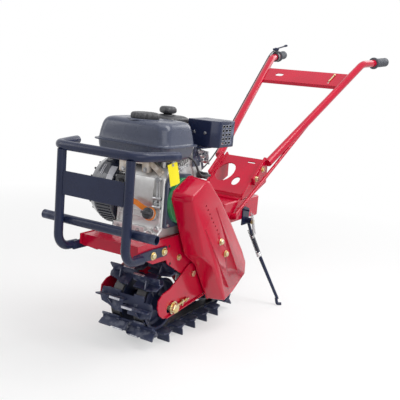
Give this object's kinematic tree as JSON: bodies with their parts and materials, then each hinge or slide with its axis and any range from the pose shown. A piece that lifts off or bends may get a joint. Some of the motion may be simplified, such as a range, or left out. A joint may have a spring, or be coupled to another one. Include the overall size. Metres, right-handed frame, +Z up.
{
  "type": "walk-behind crawler trencher",
  "caption": "Tracked walk-behind trencher carrier with a small petrol engine, tube front guard, chain case, raised rear handles and a fold-down prop stand.",
  "frame": {"origin": "tip of a track cleat on the ground, on the machine's centre plane under the engine", "axes": "+X to the machine's left side (the chain case side), +Y to the rear (the handles), +Z up from the ground"},
  "size_m": [0.5186, 1.6462, 0.9481],
  "materials": {
    "red_paint": "gloss",
    "black_powder": "satin",
    "track_steel": "satin",
    "tank_paint": "satin",
    "cast_alloy": "cast",
    "green_paint": "gloss",
    "zinc": "plated",
    "steel": "machined",
    "black_plastic": "satin",
    "grip_rubber": "matte",
    "cap_plastic": "matte",
    "yellow_card": "matte",
    "orange_card": "matte",
    "red_plastic": "gloss",
    "cable_jacket": "satin"
  },
  "bodies": {
    "machine": {"air_cleaner_base": "black_plastic", "air_cleaner_cover": "black_plastic", "carburettor": "cast_alloy", "chain_case_back": "red_paint", "chain_case_cover": "red_paint", "crankcase": "cast_alloy", "crankcase_cover": "cast_alloy", "cylinder": "cast_alloy", "cylinder_head": "cast_alloy", "drive_chain": "steel", "engine_deck": "red_paint", "fuel_tank": "tank_paint", "grip_left": "grip_rubber", "grip_right": "grip_rubber", "guard_cross_tube": "black_powder", "guard_plate": "black_powder", "guard_post_left": "black_powder", "guard_post_right": "black_powder", "guard_top_rail": "black_powder", "handle_brace": "red_paint", "handle_bracket": "red_paint", "handle_cross_plate": "red_paint", "handle_left": "red_paint", "handle_right": "red_paint", "hang_tag": "yellow_card", "idler_axle": "zinc", "muffler": "steel", "muffler_guard": "black_powder", "muffler_stay": "black_powder", "oil_tag": "orange_card", "pto_flange": "green_paint", "rear_box": "red_paint", "recoil_housing": "black_powder", "rocker_cover": "black_powder", "roller_axle": "zinc", "side_plate_left": "red_paint", "side_plate_right": "red_paint", "spark_plug_cap": "black_plastic", "stand_bracket": "black_powder", "stand_spring": "steel", "switch_box": "black_plastic", "throttle_cable": "cable_jacket", "throttle_clamp": "black_plastic", "track_belt": "track_steel", "track_plate_left": "red_paint", "track_plate_right": "red_paint"},
    "crank": {"crankshaft": "steel"},
    "track_drive": {"track_drive": "steel"},
    "idler": {"idler_wheel": "track_steel"},
    "roller": {"roller_wheel": "track_steel"},
    "fuel_cap": {"fuel_cap": "cap_plastic"},
    "dipstick": {"oil_dipstick": "black_plastic"},
    "air_cleaner_knob": {"air_cleaner_knob": "black_plastic"},
    "choke": {"choke_lever": "black_plastic"},
    "switch": {"engine_switch": "red_plastic"},
    "governor": {"governor_arm": "steel"},
    "pull_grip": {"recoil_grip": "black_plastic"},
    "throttle": {"throttle_lever": "black_plastic"},
    "stand": {"stand_leg": "black_powder"}
  },
  "joints": [
    {"name": "crankshaft_spin", "type": "hinge", "parent": "machine", "child": "crank", "pos_m": [0, -0.085, 0.438], "axis": [1, 0, 0], "continuous": true},
    {"name": "track_drive_spin", "type": "hinge", "parent": "machine", "child": "track_drive", "pos_m": [0, 0.15, 0.192], "axis": [1, 0, 0], "continuous": true},
    {"name": "idler_spin", "type": "hinge", "parent": "machine", "child": "idler", "pos_m": [0, -0.09, 0.118], "axis": [1, 0, 0], "continuous": true},
    {"name": "roller_spin", "type": "hinge", "parent": "machine", "child": "roller", "pos_m": [0, 0.258, 0.086], "axis": [1, 0, 0], "continuous": true},
    {"name": "fuel_cap_turn", "type": "hinge", "parent": "machine", "child": "fuel_cap", "pos_m": [-0.025, -0.11, 0.6573], "axis": [0, 0, 1], "range_deg": [0, 90]},
    {"name": "dipstick_turn", "type": "hinge", "parent": "machine", "child": "dipstick", "pos_m": [0.055, -0.17628, 0.40409], "axis": [0, -0.9487, 0.3162], "range_deg": [0, 360]},
    {"name": "air_cleaner_knob_turn", "type": "hinge", "parent": "machine", "child": "air_cleaner_knob", "pos_m": [-0.06, 0.058, 0.68], "axis": [0, 0, 1], "range_deg": [0, 360]},
    {"name": "choke_swing", "type": "hinge", "parent": "machine", "child": "choke", "pos_m": [-0.1146, 0.06738, 0.51347], "axis": [1, 0, 0], "range_deg": [0, 70]},
    {"name": "engine_switch_turn", "type": "hinge", "parent": "machine", "child": "switch", "pos_m": [-0.049, -0.1763, 0.476], "axis": [0, 1, 0], "range_deg": [0, 60]},
    {"name": "throttle_lever_swing", "type": "hinge", "parent": "machine", "child": "throttle", "pos_m": [-0.21557, 1.13465, 0.91796], "axis": [0, -0.1087, 0.9941], "range_deg": [0, 80]},
    {"name": "governor_swing", "type": "hinge", "parent": "machine", "child": "governor", "pos_m": [0.068, -0.1523, 0.5], "axis": [0, 1, 0], "range_deg": [0, 20]},
    {"name": "pull_grip_slide", "type": "slide", "parent": "machine", "child": "pull_grip", "axis": [0, 0.766, 0.6428], "range_m": [0, 0.15]},
    {"name": "stand_fold", "type": "hinge", "parent": "machine", "child": "stand", "pos_m": [0.094, 0.385, 0.305], "axis": [1, 0, 0], "range_deg": [0, 85]}
  ],
  "couplings": [
    {"joint": "track_drive_spin", "follows": "crankshaft_spin", "ratio": 0.6},
    {"joint": "idler_spin", "follows": "crankshaft_spin", "ratio": 0.54146},
    {"joint": "roller_spin", "follows": "crankshaft_spin", "ratio": 0.888},
    {"joint": "governor_swing", "follows": "throttle_lever_swing", "ratio": 0.25}
  ]
}
